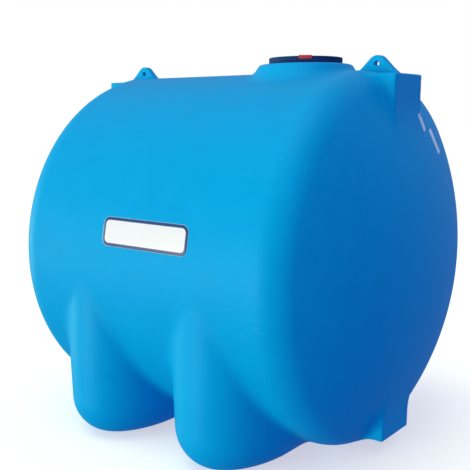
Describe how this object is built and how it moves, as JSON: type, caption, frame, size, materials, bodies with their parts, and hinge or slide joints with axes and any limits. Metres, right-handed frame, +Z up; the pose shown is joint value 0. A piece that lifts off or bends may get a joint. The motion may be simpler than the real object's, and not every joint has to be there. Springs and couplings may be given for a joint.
{
  "type": "horizontal water tank on moulded feet",
  "caption": "Horizontal moulded plastic water tank: a short round barrel with domed ends on hollow saddle feet, with a screw lid and lifting lugs.",
  "frame": {"origin": "on the floor under the middle of the tank", "axes": "+Z up, X along the barrel with the manhole towards +X, -Y is the front"},
  "size_m": [1.7338, 1.5, 1.5668],
  "materials": {
    "tank_blue": "moulded polyethylene, satin",
    "lid_navy": "moulded polypropylene, satin",
    "catch_red": "moulded, smooth",
    "gasket_rubber": "soft black rubber"
  },
  "bodies": {
    "tank": {"crown_manhole": "tank_blue", "crown_plain": "tank_blue", "end_left_dish": "tank_blue", "end_left_knuckle_back": "tank_blue", "end_left_knuckle_bottom": "tank_blue", "end_left_knuckle_front": "tank_blue", "end_left_knuckle_top": "tank_blue", "end_right_dish": "tank_blue", "end_right_knuckle_back": "tank_blue", "end_right_knuckle_bottom": "tank_blue", "end_right_knuckle_front": "tank_blue", "end_right_knuckle_top": "tank_blue", "foot_left_flank_inner": "tank_blue", "foot_left_flank_outer": "tank_blue", "foot_left_nose_back_inner": "tank_blue", "foot_left_nose_back_outer": "tank_blue", "foot_left_nose_front_inner": "tank_blue", "foot_left_nose_front_outer": "tank_blue", "foot_left_sole": "tank_blue", "foot_right_flank_inner": "tank_blue", "foot_right_flank_outer": "tank_blue", "foot_right_nose_back_inner": "tank_blue", "foot_right_nose_back_outer": "tank_blue", "foot_right_nose_front_inner": "tank_blue", "foot_right_nose_front_outer": "tank_blue", "foot_right_sole": "tank_blue", "left_block_bottom": "tank_blue", "left_block_top": "tank_blue", "left_lifting_lug": "tank_blue", "lid_gasket": "gasket_rubber", "manhole_collar": "tank_blue", "right_block_bottom": "tank_blue", "right_block_top": "tank_blue", "right_lifting_lug": "tank_blue", "shoulder_back": "tank_blue", "shoulder_front": "tank_blue", "side_back": "tank_blue", "side_front": "tank_blue", "thread_ring": "tank_blue"},
    "lid": {"lid_top": "lid_navy", "lid_skirt": "lid_navy", "lid_catch": "catch_red"}
  },
  "joints": [
    {"name": "lid_turn", "type": "hinge", "parent": "tank", "child": "lid", "pos_m": [0.285, 0, 1.55], "axis": [0, 0, 1], "range_deg": [0, 270]}
  ]
}
